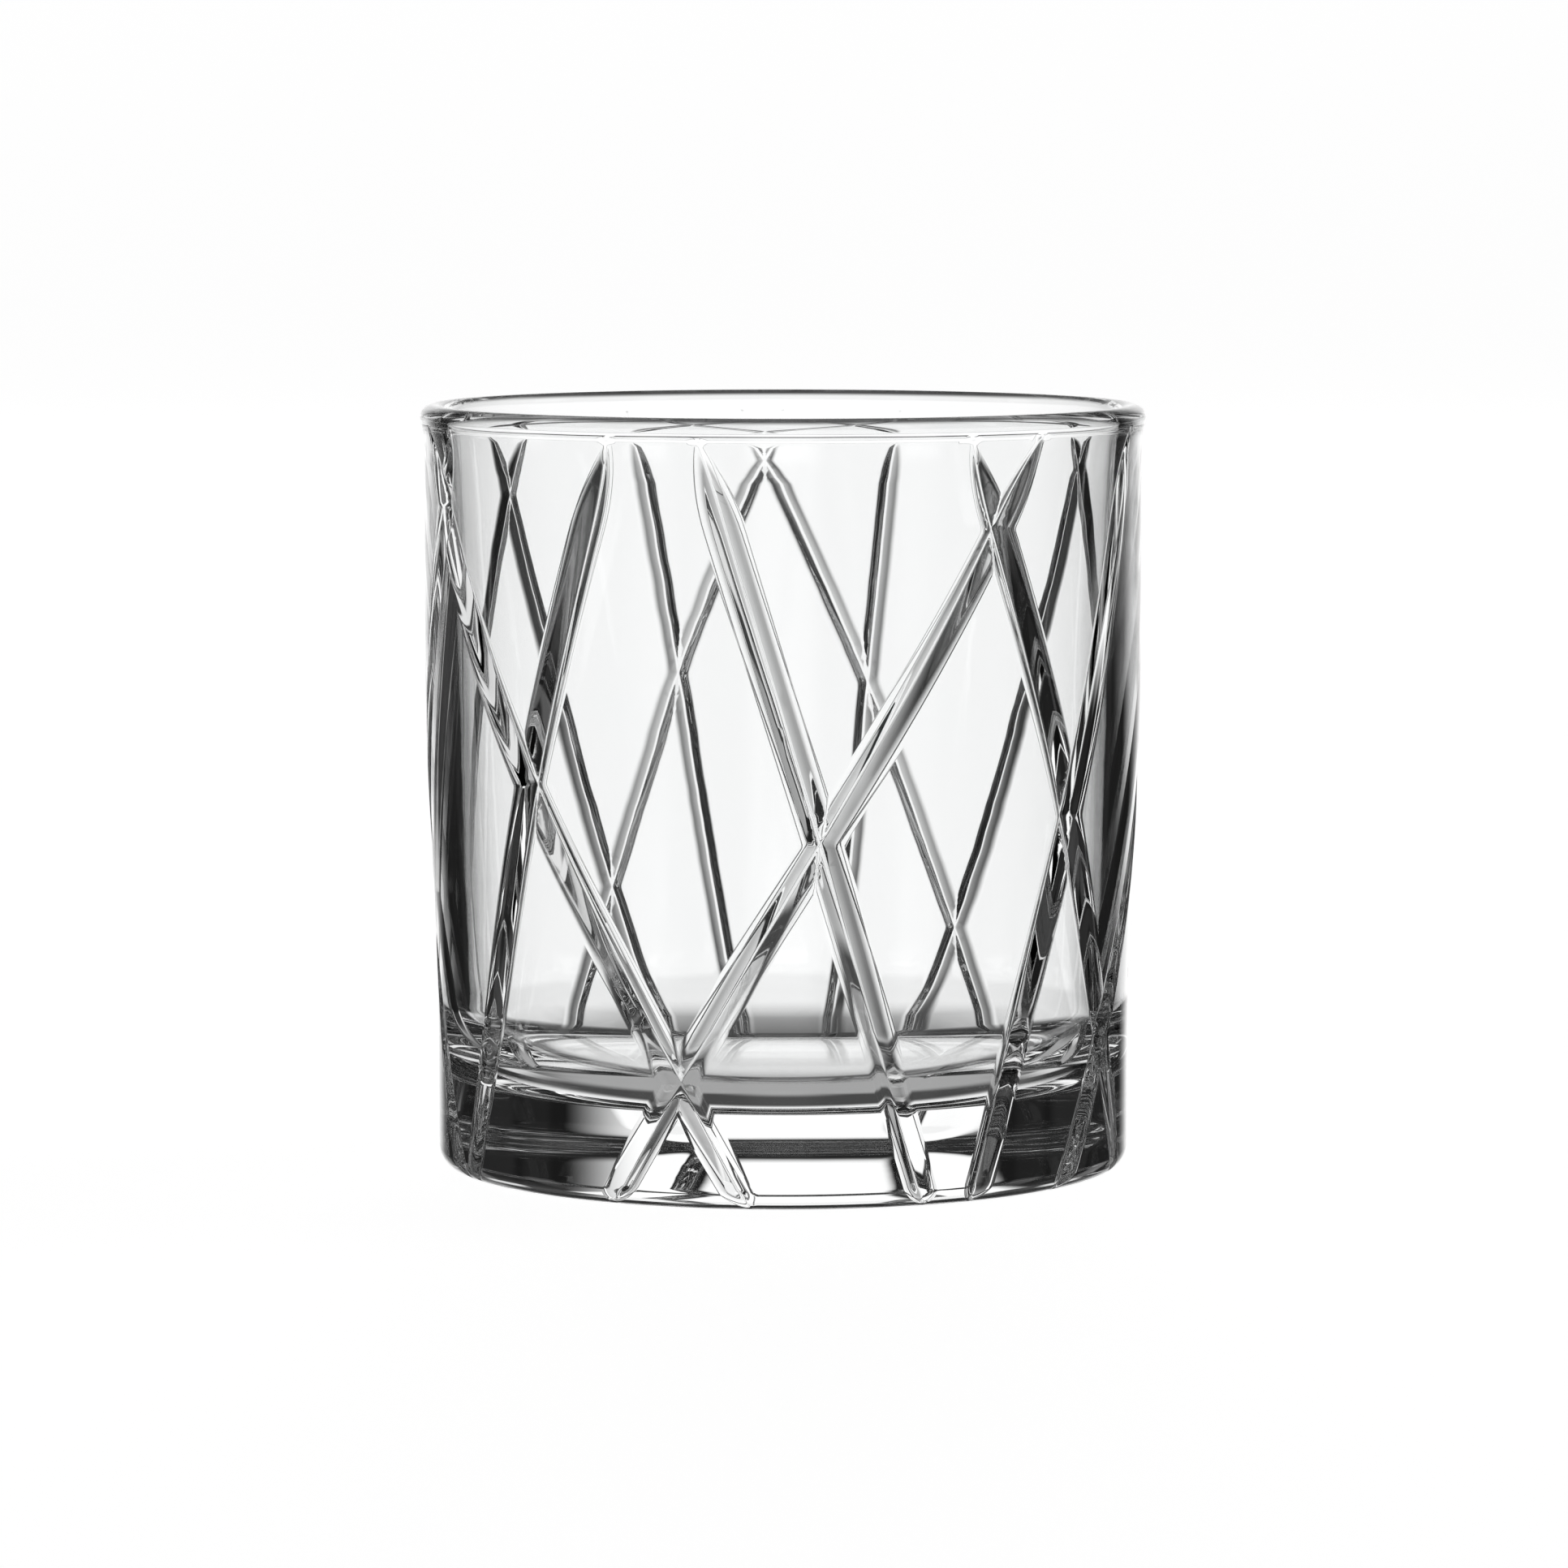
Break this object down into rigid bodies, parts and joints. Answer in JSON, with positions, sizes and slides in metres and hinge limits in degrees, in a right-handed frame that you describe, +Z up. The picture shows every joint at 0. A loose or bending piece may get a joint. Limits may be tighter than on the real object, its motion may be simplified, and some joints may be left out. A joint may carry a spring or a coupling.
{
  "type": "whiskey tumbler",
  "caption": "Short straight-sided drinking glass in clear pressed glass, with crossing V cuts round the side, a plain rounded rim and a thick solid base.",
  "frame": {"origin": "centre of the underside, on the surface that the glass stands on", "axes": "+Z up along the glass's axis, towards the mouth; -Y is the side that the reference view shows; +X is to the right in that view"},
  "size_m": [0.0864, 0.0864, 0.091],
  "materials": {
    "glass": "fire polished, smooth, colourless"
  },
  "bodies": {
    "root": {"rim": "glass", "wall": "glass", "base": "glass"}
  },
  "joints": []
}
